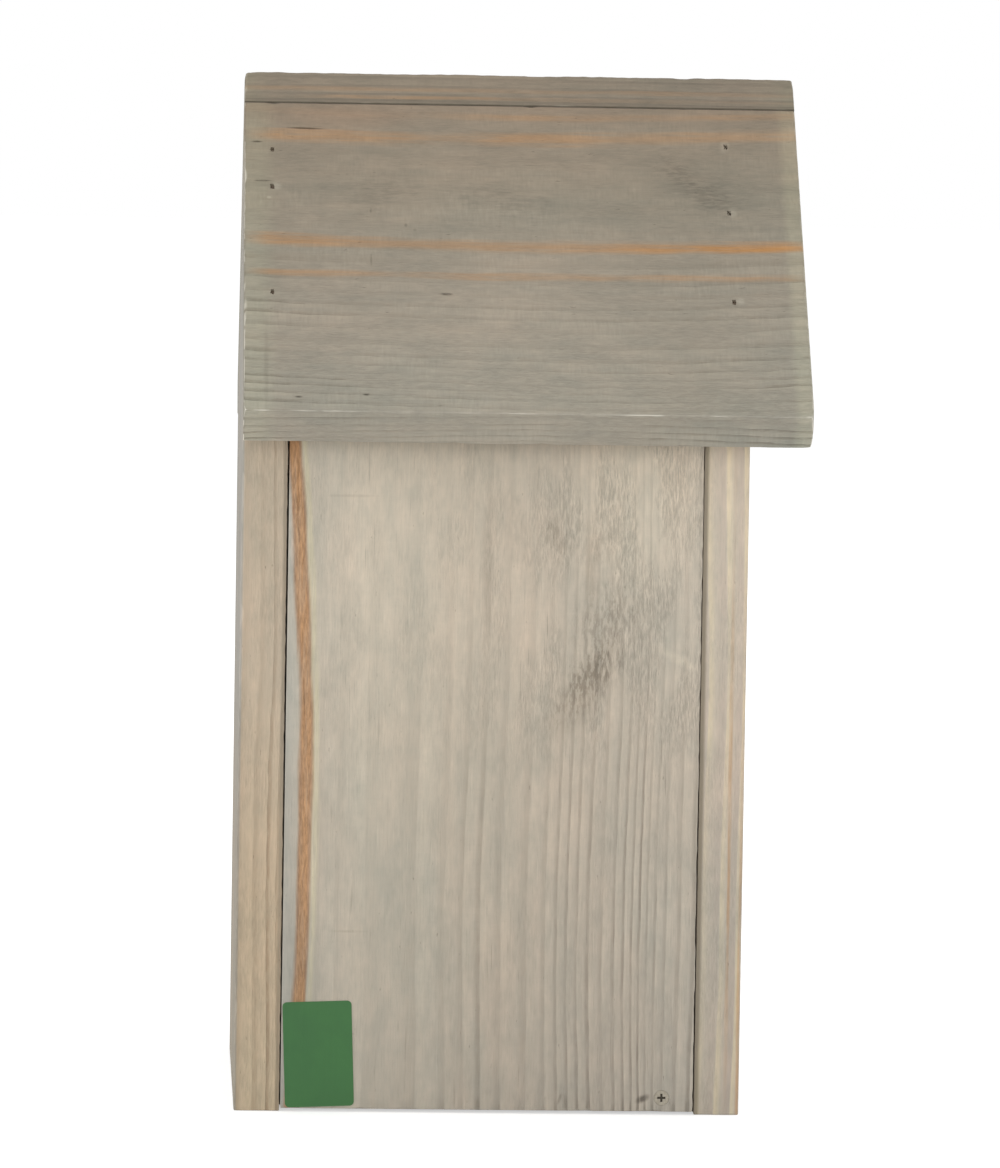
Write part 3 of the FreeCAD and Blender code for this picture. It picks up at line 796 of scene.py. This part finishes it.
        dirt_and_shade_bands=(DirtAndShadeBand(12, 1.7, 0.75, edge=PANEL_EDGE_X, colour=shade(128, 118, 100)),),
        seed=4.0,
    ),
    "back_panel": Wood(
        corner=(0, BACK_Y, 0),
        along=(0, 0, 1),
        across=(1, 0, 0),
        inward=(0, -1, 0),
        pith=(8, 64),
        ring=1.6,
        tones=[(-65, shade(187, 173, 153)), (0, shade(184, 172, 155)), (65, shade(184, 170, 152))],
        fade=[(0, (1.03, 0.98, 0.90)), (60, (1.04, 0.98, 0.91)), (120, (1.0, 1.0, 1.0)),
              (260, (1.0, 1.0, 1.0))],
        lines_across=[(-65, 1.0), (-40, 0.6), (0, 0.4), (40, 0.6), (65, 0.9)],
        lines_along=[(0, 1.6), (6, 1.3), (70, 0.9), (130, 0.5), (260, 0.6)],
        late=0.5,
        line_colour=(0.70, 0.66, 0.63),
        bands=0.6,
        breaks=0.3,
        rub=((-100, 0.1), (130, 0.1)),
        # The outer face, greyer than the cut edge: partly the wash, partly painted reflection of the white
        # background seen at a grazing angle
        face_tone=shade(163, 159, 151),
        marks=(
            Mark(150, -24, 22, 6, SMUDGE, lean=0.1, broken=0.7),
            Mark(90, 25, 30, 10, FAINT_SMUDGE, broken=0.5),
        ),
        # Painted shade: a dark band on the panel's edge beside the door gap, as on an arris in shadow
        dirt_and_shade_bands=(DirtAndShadeBand(12, 1.2, 0.45, edge=PANEL_EDGE_X, colour=shade(118, 110, 96)),),
        waver=0.7,
        seed=5.0,
    ),
    "fixed_side_panel": Wood(
        corner=(FIXED_SIDE_X, 0, 0),
        along=(0, 0, 1),
        across=(0, 1, 0),
        inward=(-1, 0, 0),
        pith=(-30, 55),
        ring=2.5,
        tones=[(-48, shade(190, 180, 164)), (10, shade(193, 183, 166)), (63, shade(188, 178, 162))],
        fade=[(0, (0.84, 0.85, 0.86)), (100, (0.96, 0.96, 0.96)), (207, (1.0, 1.0, 1.0))],
        lines_across=[(-48, 0.4), (0, 0.4), (30, 0.75), (63, 1.0)],
        lines_along=[(0, 1.4), (4, 1.1), (100, 0.8), (207, 0.6)],
        fuzz=((-48, 0.4), (10, 0.6), (63, 1.0)),
        streaks=(
            Streak(-35.0, 2.6, RED_PINE, bow=0.0003, bow_from=110, rim=0.6,
                   levels=[(0, 0.4), (90, 0.7), (207, 0.3)]),
        ),
        marks=(
            Mark(60, 30, 16, 6, SMUDGE, lean=0.2, broken=0.7),
            Mark(130, 0, 30, 12, FAINT_SMUDGE, broken=0.6),
        ),
        dirt_and_shade_bands=(DirtAndShadeBand(-48, 0.6, 0.6), DirtAndShadeBand(63, 0.6, 0.6)),
        seed=6.0,
    ),
    "floor_board": Wood(
        corner=(0, 0, 0),
        along=(1, 0, 0),
        across=(0, 1, 0),
        inward=(0, 0, 1),
        pith=(10, 60),
        ring=2.4,
        tones=[(-48, shade(184, 174, 157)), (63, shade(186, 176, 159))],
        fade=[(-53, (0.95, 0.95, 0.95)), (53, (1.0, 1.0, 1.0))],
        lines_across=[(-48, 0.9), (63, 0.7)],
        lines_along=[(-53, 0.8), (53, 0.9)],
        seed=7.0,
    ),
}


# Worn boards


@dataclasses.dataclass
class Knock:
    """A corner that has been knocked in: where it was, how far around it, and the push into the wood."""

    place: tuple
    reach: float
    push: tuple


@dataclasses.dataclass
class SoftLine:
    """An arris that is worn more or, below zero, less: its ends, how far around it, and the change."""

    low: tuple
    high: tuple
    fade: float
    wear: float


KNOCKS = {
    "roof_board_door_side": (
        Knock((EAVE_X, ROOF_FRONT_Y, EAVE_Z), 5, (0.3, 0.5, 0.2)),
        Knock((EAVE_X + EAVE_DROP, ROOF_FRONT_Y, EAVE_Z - EAVE_DROP), 3, (-0.2, 0.35, 0.2)),
        Knock((EAVE_X, BACK_Y, EAVE_Z), 4, (0.2, -0.4, 0.1)),
    ),
    "roof_board_fixed_side": (
        Knock((0, ROOF_FRONT_Y, RIDGE_TOP), 4, (0, 0.3, -0.2)),
        Knock((0, BACK_Y, RIDGE_TOP), 4, (0, -0.4, -0.5)),
    ),
}
SOFT_LINES = {
    "front_panel": (
        SoftLine((PANEL_EDGE_X, FRONT_INNER_Y, 0), (PANEL_EDGE_X, FRONT_INNER_Y, DOOR_TOP), 3, -0.7),
        SoftLine((PANEL_EDGE_X, FRONT_INNER_Y, 0), (PANEL_EDGE_X, FRONT_INNER_Y, SOFTER_BELOW), 5, 1.0),
    ),
    "back_panel": (
        SoftLine((PANEL_EDGE_X, BACK_INNER_Y, 0), (PANEL_EDGE_X, BACK_INNER_Y, DOOR_TOP), 3, -0.7),
    ),
    "side_door": (
        SoftLine((DOOR_X, DOOR_FRONT_Y, 0), (DOOR_X, DOOR_FRONT_Y, DOOR_TOP), 3, -0.7),
        SoftLine((DOOR_X, DOOR_BACK_Y, 0), (DOOR_X, DOOR_BACK_Y, DOOR_TOP), 3, -0.7),
    ),
    "roof_board_door_side": (
        SoftLine((EAVE_X, ROOF_FRONT_Y, EAVE_Z), (0, ROOF_FRONT_Y, RIDGE_TOP), 4, 1.3),
    ),
    "roof_board_fixed_side": (
        SoftLine((0, ROOF_FRONT_Y, RIDGE_TOP), (0, BACK_Y, RIDGE_TOP), 4, 1.2),
    ),
}
FRAYED_ARRISES = {
    "side_door": Vector((DOOR_X, DOOR_FRONT_Y)),
    "back_panel": Vector((PANEL_EDGE_X, BACK_INNER_Y)),
}


def board_corners(work):
    """The corners of a board: the places that lie farthest out in one of many directions."""
    places = [vert.co.copy().freeze() for vert in work.verts]
    ways = [Vector(way) for way in itertools.product(range(-2, 3), repeat=3) if any(way)]
    return list(dict.fromkeys(max(places, key=way.dot) for way in ways))


def outer_faces(work, corners):
    """The faces of a board that none of its corners stands in front of."""
    work.normal_update()
    found = set()
    for face in work.faces:
        middle, normal = face.verts[0].co, face.normal
        if max((corner - middle).dot(normal) for corner in corners) < IN_FRONT * MM:
            found.add(face)
    return found


def smooth_bores(work):
    """Shades the round walls of the drilled holes smooth."""
    for edge in work.edges:
        if len(edge.link_faces) == 2 and FLAT_ANGLE < edge.calc_face_angle() < SHARP_ANGLE:
            for face in edge.link_faces:
                face.smooth = True


def hole_mouths(work, outer):
    """The edge loops where a hole opens in an outer face."""
    rims = {e for e in work.edges if sum(face in outer for face in e.link_faces) == 1}
    loops = []
    while rims:
        loop, waiting = [], [rims.pop()]
        while waiting:
            edge = waiting.pop()
            loop.append(edge)
            near = [e for vert in edge.verts for e in vert.link_edges if e in rims]
            rims.difference_update(near)
            waiting.extend(set(near))
        loops.append(loop)
    return loops


def mouth_middle(loop):
    """The middle of a hole's mouth."""
    corners = {vert for edge in loop for vert in edge.verts}
    return sum((vert.co for vert in corners), Vector()) / len(corners)


def tear_mouth(work, loop, outer, chance):
    """Closes the mouth of a nail hole unevenly over the nail, as torn fibres do."""
    middle = mouth_middle(loop)
    normal = next(face for face in loop[0].link_faces if face in outer).normal.copy()
    bmesh.ops.subdivide_edges(work, edges=loop, cuts=TORN_CUTS)
    reach = max((vert.co - middle).length for edge in loop for vert in edge.verts) * MOUTH_MARGIN

    def at_mouth(vert):
        return (vert.co - middle).length < reach and abs((vert.co - middle).dot(normal)) < IN_FRONT * MM

    for vert in sorted(filter(at_mouth, work.verts), key=lambda vert: tuple(vert.co)):
        vert.co = middle.lerp(vert.co, chance.uniform(*TORN_SHARE))


def soften_mouth(work, loop):
    """Rounds the mouth of a drilled hole."""
    rounded = bmesh.ops.bevel(
        work, geom=loop, offset=HOLE_ROUND * MM, offset_type="OFFSET", segments=HOLE_STEPS,
        profile=0.5, affect="EDGES",
    )
    for face in rounded["faces"]:
        face.smooth = True


def treat_mouths(work, corners, chance):
    """Closes the nail holes and rounds the drilled ones. Fits for pivots and screws stay as they are."""
    places = [mouth_middle(loop) for loop in hole_mouths(work, outer_faces(work, corners))]
    for place in sorted(places, key=lambda place: tuple(round(part / MM, 1) for part in place)):
        outer = outer_faces(work, corners)
        loop = min(hole_mouths(work, outer), key=lambda loop: (mouth_middle(loop) - place).length)
        radius = max((vert.co - place).length for edge in loop for vert in edge.verts)
        if radius > SOFT_HOLE_RADIUS * MM:
            soften_mouth(work, loop)
        elif max(edge.calc_length() for edge in loop) > TORN_EDGE * MM:
            tear_mouth(work, loop, outer, chance)


def wear_at(place, seed, soft_lines):
    """How far an arris is worn back at a place, as a multiple of its rounding."""
    shift = Vector(seed * part for part in WEAR_SHIFT)
    slow = noise.noise(place / (SLOW_LENGTH * MM) + shift)
    quick = noise.noise(place / (QUICK_LENGTH * MM) + shift)
    chip = max(0.0, noise.noise(place / (CHIP_LENGTH * MM) - shift) - CHIP_FROM)
    wear = PLAIN_WEAR + SLOW_WEAR * slow + QUICK_WEAR * quick + CHIP_WEAR * chip
    here = place / MM
    for line in soft_lines:
        nearest = Vector(min(max(h, l), u) for h, l, u in zip(here, line.low, line.high))
        wear *= 1 + line.wear * max(0.0, 1 - (here - nearest).length / line.fade)
    return min(max(wear, LEAST_WEAR), MOST_WEAR)


def knock_corners(work, knocks):
    """Pushes the knocked corners of a board into its wood."""
    for knock in knocks:
        for vert in work.verts:
            share = max(0.0, 1 - (vert.co / MM - Vector(knock.place)).length / knock.reach)
            vert.co += Vector(knock.push) * MM * share * share


def nearest_on(place, begin, end):
    """The place on a straight line from begin to end that is nearest to this one."""
    way = end - begin
    return begin + way * min(max((place - begin).dot(way) / way.length_squared, 0.0), 1.0)


def wear_arrises(work, corners, seed, soft_lines):
    """Rounds the outer arrises of a board and wears them unevenly, always into the wood."""
    kind = work.faces.layers.int.new("kind")
    outer = outer_faces(work, corners)
    arrises = [
        edge for edge in work.edges
        if all(face in outer for face in edge.link_faces) and edge.calc_face_angle() > SHARP_ANGLE
    ]
    lines = [(edge.verts[0].co.copy(), edge.verts[1].co.copy()) for edge in arrises]
    for face in outer:
        face[kind] = OUTER_FACE
    rounded = bmesh.ops.bevel(
        work, geom=arrises, offset=ARRIS_ROUND * MM, offset_type="OFFSET", segments=ARRIS_STEPS,
        profile=0.5, affect="EDGES",
    )
    for face in rounded["faces"]:
        face.smooth = True
        face[kind] = ARRIS_FACE
    reach = WEAR_REACH * MM
    for begin, end in lines:
        way = (end - begin).normalized()
        length = (end - begin).length

        def beside(vert):
            return (vert.co - begin - way * (vert.co - begin).dot(way)).length < reach

        strip = [
            edge for edge in work.edges
            if edge.calc_length() > WHOLE_ARRIS * length and beside(edge.verts[0]) and beside(edge.verts[1])
        ]
        cuts = int(length / (ARRIS_SPACING * MM))
        bmesh.ops.subdivide_edges(work, edges=strip, cuts=cuts, use_grid_fill=True)
    for vert in work.verts:
        feet = [nearest_on(vert.co, begin, end) for begin, end in lines]
        foot = min(feet, key=lambda foot: (vert.co - foot).length)
        if (vert.co - foot).length < reach:
            vert.co = foot.lerp(vert.co, wear_at(foot, seed, soft_lines))


def fray_arris(work, place):
    """Lets the fibres of an upright arris stand out towards the front, into the gap beside the door."""
    for vert in work.verts:
        if (vert.co.xy / MM - place).length < FRAY_REACH:
            lift = PLAIN_FRAY + noise.noise((place.x, place.y, vert.co.z / (FRAY_LENGTH * MM)))
            vert.co.y -= min(max(lift, 0.0), 1.0) * MOST_FRAY * MM


def flat_regions(work):
    """The outer faces of a board, each with the faces that carry it on in its plane."""
    work.normal_update()
    kind = work.faces.layers.int["kind"]
    taken = set()
    for first in work.faces:
        if first[kind] != OUTER_FACE or first in taken:
            continue
        region, waiting = [first], [first]
        taken.add(first)
        while waiting:
            for edge in waiting.pop().edges:
                near = [
                    face for face in edge.link_faces if face[kind] == OUTER_FACE and face not in taken
                ]
                taken.update(near)
                region.extend(near)
                waiting.extend(near)
        yield region


def sides_of(triangle):
    """The three sides of a triangle, each as a pair of points."""
    return [frozenset((triangle[turn], triangle[turn - 1])) for turn in range(3)]


def filled_between(points, pairs):
    """Triangles of points that fill a region within its outer rim and around the rims of its holes."""
    filled = delaunay_2d_cdt(points, pairs, [], WITHIN_RIM, CLOSE_POINTS)
    triangles = [tuple(filled[3][index][0] for index in triangle) for triangle in filled[2]]
    beside = {}
    for triangle in triangles:
        for side in sides_of(triangle):
            beside.setdefault(side, []).append(triangle)
    rims = {frozenset(pair) for pair in pairs}
    waiting = [found[0] for found in beside.values() if len(found) == 1]
    kept = dict.fromkeys(waiting)
    while waiting:
        for side in sides_of(waiting.pop()):
            near = [triangle for triangle in beside[side] if side not in rims and triangle not in kept]
            kept.update(dict.fromkeys(near))
            waiting.extend(near)
    return list(kept)


def refill_flat(work):
    """Fills each flat region anew between its rim and its holes, so that no seam runs across it."""
    for region in list(flat_regions(work)):
        normal = region[0].normal.copy()
        side = normal.orthogonal().normalized()
        upward = normal.cross(side)
        inside = set(region)
        edges = list(dict.fromkeys(edge for face in region for edge in face.edges))
        rim = [edge for edge in edges if sum(loop.face in inside for loop in edge.link_loops) == 1]
        corners = list(dict.fromkeys(vert for edge in rim for vert in edge.verts))
        number = {vert: index for index, vert in enumerate(corners)}
        points = [Vector((vert.co.dot(side), vert.co.dot(upward))) / MM for vert in corners]
        pairs = [(number[edge.verts[0]], number[edge.verts[1]]) for edge in rim]
        bmesh.ops.delete(work, geom=region, context="FACES_KEEP_BOUNDARY")
        for triangle in filled_between(points, pairs):
            work.faces.new([corners[index] for index in triangle])


def hang_askew(work):
    """Leans the top of the door a little towards the front, as it hangs on its pivots."""
    for vert in work.verts:
        vert.co.y -= (vert.co.z - LOCK_MIDDLE.z * MM) * DOOR_HANG


def worn_board(node, wood, body, slot):
    """A weathered board in place of a plain one: worn arrises, torn nail holes, rounded drillings."""
    work = bmesh.new()
    work.from_mesh(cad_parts[node].data)
    bmesh.ops.remove_doubles(work, verts=work.verts, dist=WELD * MM)
    bmesh.ops.dissolve_limit(work, angle_limit=FLAT_ANGLE, verts=work.verts, edges=work.edges)
    for face in work.faces:
        face.smooth = False
    smooth_bores(work)
    if node == "side_door":
        hang_askew(work)
    corners = board_corners(work)
    treat_mouths(work, corners, random.Random(wood.seed))
    wear_arrises(work, corners, wood.seed, SOFT_LINES.get(node, ()))
    if node in FRAYED_ARRISES:
        fray_arris(work, FRAYED_ARRISES[node])
    knock_corners(work, KNOCKS.get(node, ()))
    refill_flat(work)
    kind = work.faces.layers.int["kind"]
    worn_share = [float(all(face[kind] == ARRIS_FACE for face in vert.link_faces)) for vert in work.verts]
    mesh = bpy.data.meshes.new("weathered_" + node)
    work.to_mesh(mesh)
    work.free()
    mesh.attributes.new("worn", "FLOAT", "POINT").data.foreach_set("value", worn_share)
    mesh.materials.append(wood_material("wood_" + node, wood))
    board = add_object("weathered_" + node, mesh)
    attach(board, body)
    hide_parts(node)


# Fasteners and label

NAIL_STEEL = shade(146, 132, 116)
NAIL_RUST = shade(92, 76, 62)
SCREW_STEEL = shade(168, 164, 154)
SCREW_DULL = shade(122, 112, 96)
SCREW_WASH = shade(160, 152, 136)
SCREW_RUBBED = shade(172, 164, 148)
LABEL_GREEN = shade(53, 99, 54)
LABEL_PALE_GREEN = shade(61, 108, 60)
LABEL_ROUGHNESS = 0.55
LABEL_GLOSS = 0.3

# Sizes and heights of their patches, pits and ridges
RUST_SIZE = (0.9, 0.9, 0.9)
WASH_SIZE = (0.7, 0.7, 0.7)
PIT_SIZE = (0.25, 0.25, 0.25)
PIT_DEPTH = 0.03
INK_SIZE = (9, 9, 9)
PAPER_SIZE = (0.35, 0.35, 0.35)
PAPER_HEIGHT = 0.008
RIDGE_SIZE = (4, 1.4, 60)
RIDGE_HEIGHT = 0.05


def steel_material(name, bright, dull, metal, roughness):
    """Plated steel that has gone dull and brown in patches."""
    material, start = new_material(name)
    spot = spot_on(start)
    patches = spot.grain(RUST_SIZE, 31, 3.0, 0.65).rise(0.38, 0.66)
    pits = spot.grain(PIT_SIZE, 32, 2.0)
    colour = patches.between(bright, dull).scaled(0.9 + pits * 0.2)
    rough = roughness + patches * 0.2 + pits.swing() * 0.1
    finish_material(start, colour, rough, pits.swing() * PIT_DEPTH, {"Metallic": metal})
    return material


def screw_material():
    """A steel screw whose head took the boards' grey wash, with painted shade in its cross recess."""
    material, start = new_material("washed_screw")
    spot = spot_on(start)
    depth = spot.dot((1, 0, 0)) - LOCK_FACE_X
    side = spot.dot((0, 1, 0)) - LOCK_MIDDLE.y
    height = spot.dot((0, 0, 1)) - LOCK_MIDDLE.z
    radius = (side * side + height * height) ** 0.5
    patches = spot.grain(WASH_SIZE, 33, 3.0, 0.65).rise(0.38, 0.62)
    pits = spot.grain(PIT_SIZE, 34, 2.0)
    steel = patches.between(SCREW_STEEL, SCREW_DULL)
    wash = patches.between(SCREW_WASH, SCREW_RUBBED)
    washed = depth.rise(0.9, 0.3)
    # Painted shade: the cross recess is painted dark, as it lies in shadow
    recess = depth.rise(0.03, 0.2) * depth.rise(1.1, 0.9) * radius.rise(1.3, 1.15)
    colour = steel.towards(wash, washed).towards(DIRT_AND_SHADE_COLOUR, recess).scaled(0.9 + pits * 0.2)
    metal = (1 - washed) * 0.8
    rough = 0.45 + washed * 0.3 + pits.swing() * 0.1
    finish_material(start, colour, rough, pits.swing() * PIT_DEPTH, {"Metallic": metal})
    return material


def label_material():
    """A plain printed paper label: green ink, a thin coat, and the wood's lines showing through."""
    material, start = new_material("green_label")
    spot = spot_on(start)
    cloud = spot.grain(INK_SIZE, 41, 2.0)
    paper = spot.grain(PAPER_SIZE, 42, 2.0)
    ridges = spot.grain(RIDGE_SIZE, 43, 1.0)
    colour = cloud.ramp([(0.25, LABEL_GREEN), (0.75, LABEL_PALE_GREEN)])
    colour = colour.scaled(0.95 + paper * 0.1)
    height = ridges.swing() * RIDGE_HEIGHT + paper.swing() * PAPER_HEIGHT
    roughness = LABEL_ROUGHNESS + cloud.swing() * 0.2
    finish_material(start, colour, roughness, height, {"Specular IOR Level": LABEL_GLOSS})
    return material


def dress_node(node, material):
    """Gives a fastener or the label, whose shape is right as it is, its finish."""
    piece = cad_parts[node]
    piece.data.materials.clear()
    piece.data.materials.append(material)


# Studio


def turned(one, other, angle):
    """Two directions, turned by an angle in their plane."""
    return one * math.cos(angle) - other * math.sin(angle), one * math.sin(angle) + other * math.cos(angle)


def set_camera():
    """The photograph's own point of view."""
    yaw, pitch, roll = (math.radians(turn) for turn in (CAMERA_YAW, CAMERA_PITCH, CAMERA_ROLL))
    right, up, ahead = Vector((0, -1, 0)), Vector((0, 0, 1)), Vector((1, 0, 0))
    right, ahead = turned(right, ahead, yaw)
    up, ahead = turned(up, ahead, pitch)
    right, up = turned(right, up, roll)
    data = bpy.data.cameras.new("camera")
    data.lens = CAMERA_LENS
    data.sensor_width = CAMERA_SENSOR
    camera = add_object("camera", data)
    turn = Matrix((right, up, -ahead)).transposed().to_4x4()
    camera.matrix_world = Matrix.Translation(Vector(CAMERA_PLACE) * MM) @ turn
    bpy.context.scene.camera = camera


def seen_directly(start):
    """1 for what the camera sees, also in a gloss or through glass, and 0 for light on the object."""
    seen = start.node("LightPath", {}, {}, "Is Camera Ray")
    shine = start.node("LightPath", {}, {}, "Is Glossy Ray")
    through = start.node("LightPath", {}, {}, "Is Transmission Ray")
    return seen.most(shine).most(through)


def set_world():
    """Even white light, before a white background."""
    world = bpy.data.worlds.new("studio")
    world.use_nodes = True
    world.node_tree.nodes.clear()
    start = Value(world.node_tree)
    light = start.node("Background", {}, {"Color": (1, 1, 1), "Strength": WORLD_LEVEL})
    white = start.node("Background", {}, {"Color": (1, 1, 1), "Strength": 1.0})
    both = start.node("MixShader", {}, {0: seen_directly(start), 1: light, 2: white})
    start.node("OutputWorld", {}, {"Surface": both})
    bpy.context.scene.world = world


def set_lamp(name, place, level):
    """One large soft lamp. Level is the light on a surface that faces it, as a share of white."""
    data = bpy.data.lights.new(name, "AREA")
    data.shape = "DISK"
    data.size = LAMP_SIZE
    away = Vector(place) - Vector(LAMP_TARGET)
    data.energy = level * math.pi**2 * away.length_squared
    lamp = add_object(name, data)
    lamp.matrix_world = Matrix.Translation(place) @ away.to_track_quat("Z", "Y").to_matrix().to_4x4()


def set_floor():
    """A wide white table that keeps the shadow."""
    work = bmesh.new()
    bmesh.ops.create_grid(work, x_segments=1, y_segments=1, size=FLOOR_SIZE / 2)
    bmesh.ops.translate(work, verts=work.verts, vec=(0, 0, -FLOOR_BELOW))
    mesh = bpy.data.meshes.new("table")
    work.to_mesh(mesh)
    work.free()
    material, start = new_material("white_table")
    matt = start.node("BsdfDiffuse", {}, {"Color": FLOOR_COLOUR})
    glow = start.node("Emission", {}, {"Color": (1, 1, 1), "Strength": FLOOR_GLOW})
    bright = start.node("AddShader", {}, {0: matt, 1: glow})
    both = start.node("MixShader", {}, {0: seen_directly(start), 1: matt, 2: bright})
    start.node("OutputMaterial", {}, {"Surface": both})
    mesh.materials.append(material)
    table = add_object("table", mesh)


# Putting it together

BOARDS = {
    "back_panel": ("box", "wall_wood"),
    "front_panel": ("box", "wall_wood"),
    "fixed_side_panel": ("box", "wall_wood"),
    "floor_board": ("box", "wall_wood"),
    "roof_board_door_side": ("box", "roof_wood"),
    "roof_board_fixed_side": ("box", "roof_wood"),
    "side_door": ("door", "door_wood"),
}
for node, (body, slot) in BOARDS.items():
    worn_board(node, WOODS[node], body, slot)

nail_finish = steel_material("nail_steel", NAIL_STEEL, NAIL_RUST, 0.4, 0.55)
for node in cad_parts:
    if "nail" in node:
        dress_node(node, nail_finish)
dress_node("lock_screw", screw_material())
dress_node("label", label_material())

set_camera()
set_world()
set_lamp("key", KEY_PLACE, KEY_LEVEL)
set_lamp("fill", FILL_PLACE, FILL_LEVEL)
set_lamp("far", FAR_PLACE, FAR_LEVEL)
set_floor()
bpy.context.scene.view_settings.view_transform = "Standard"
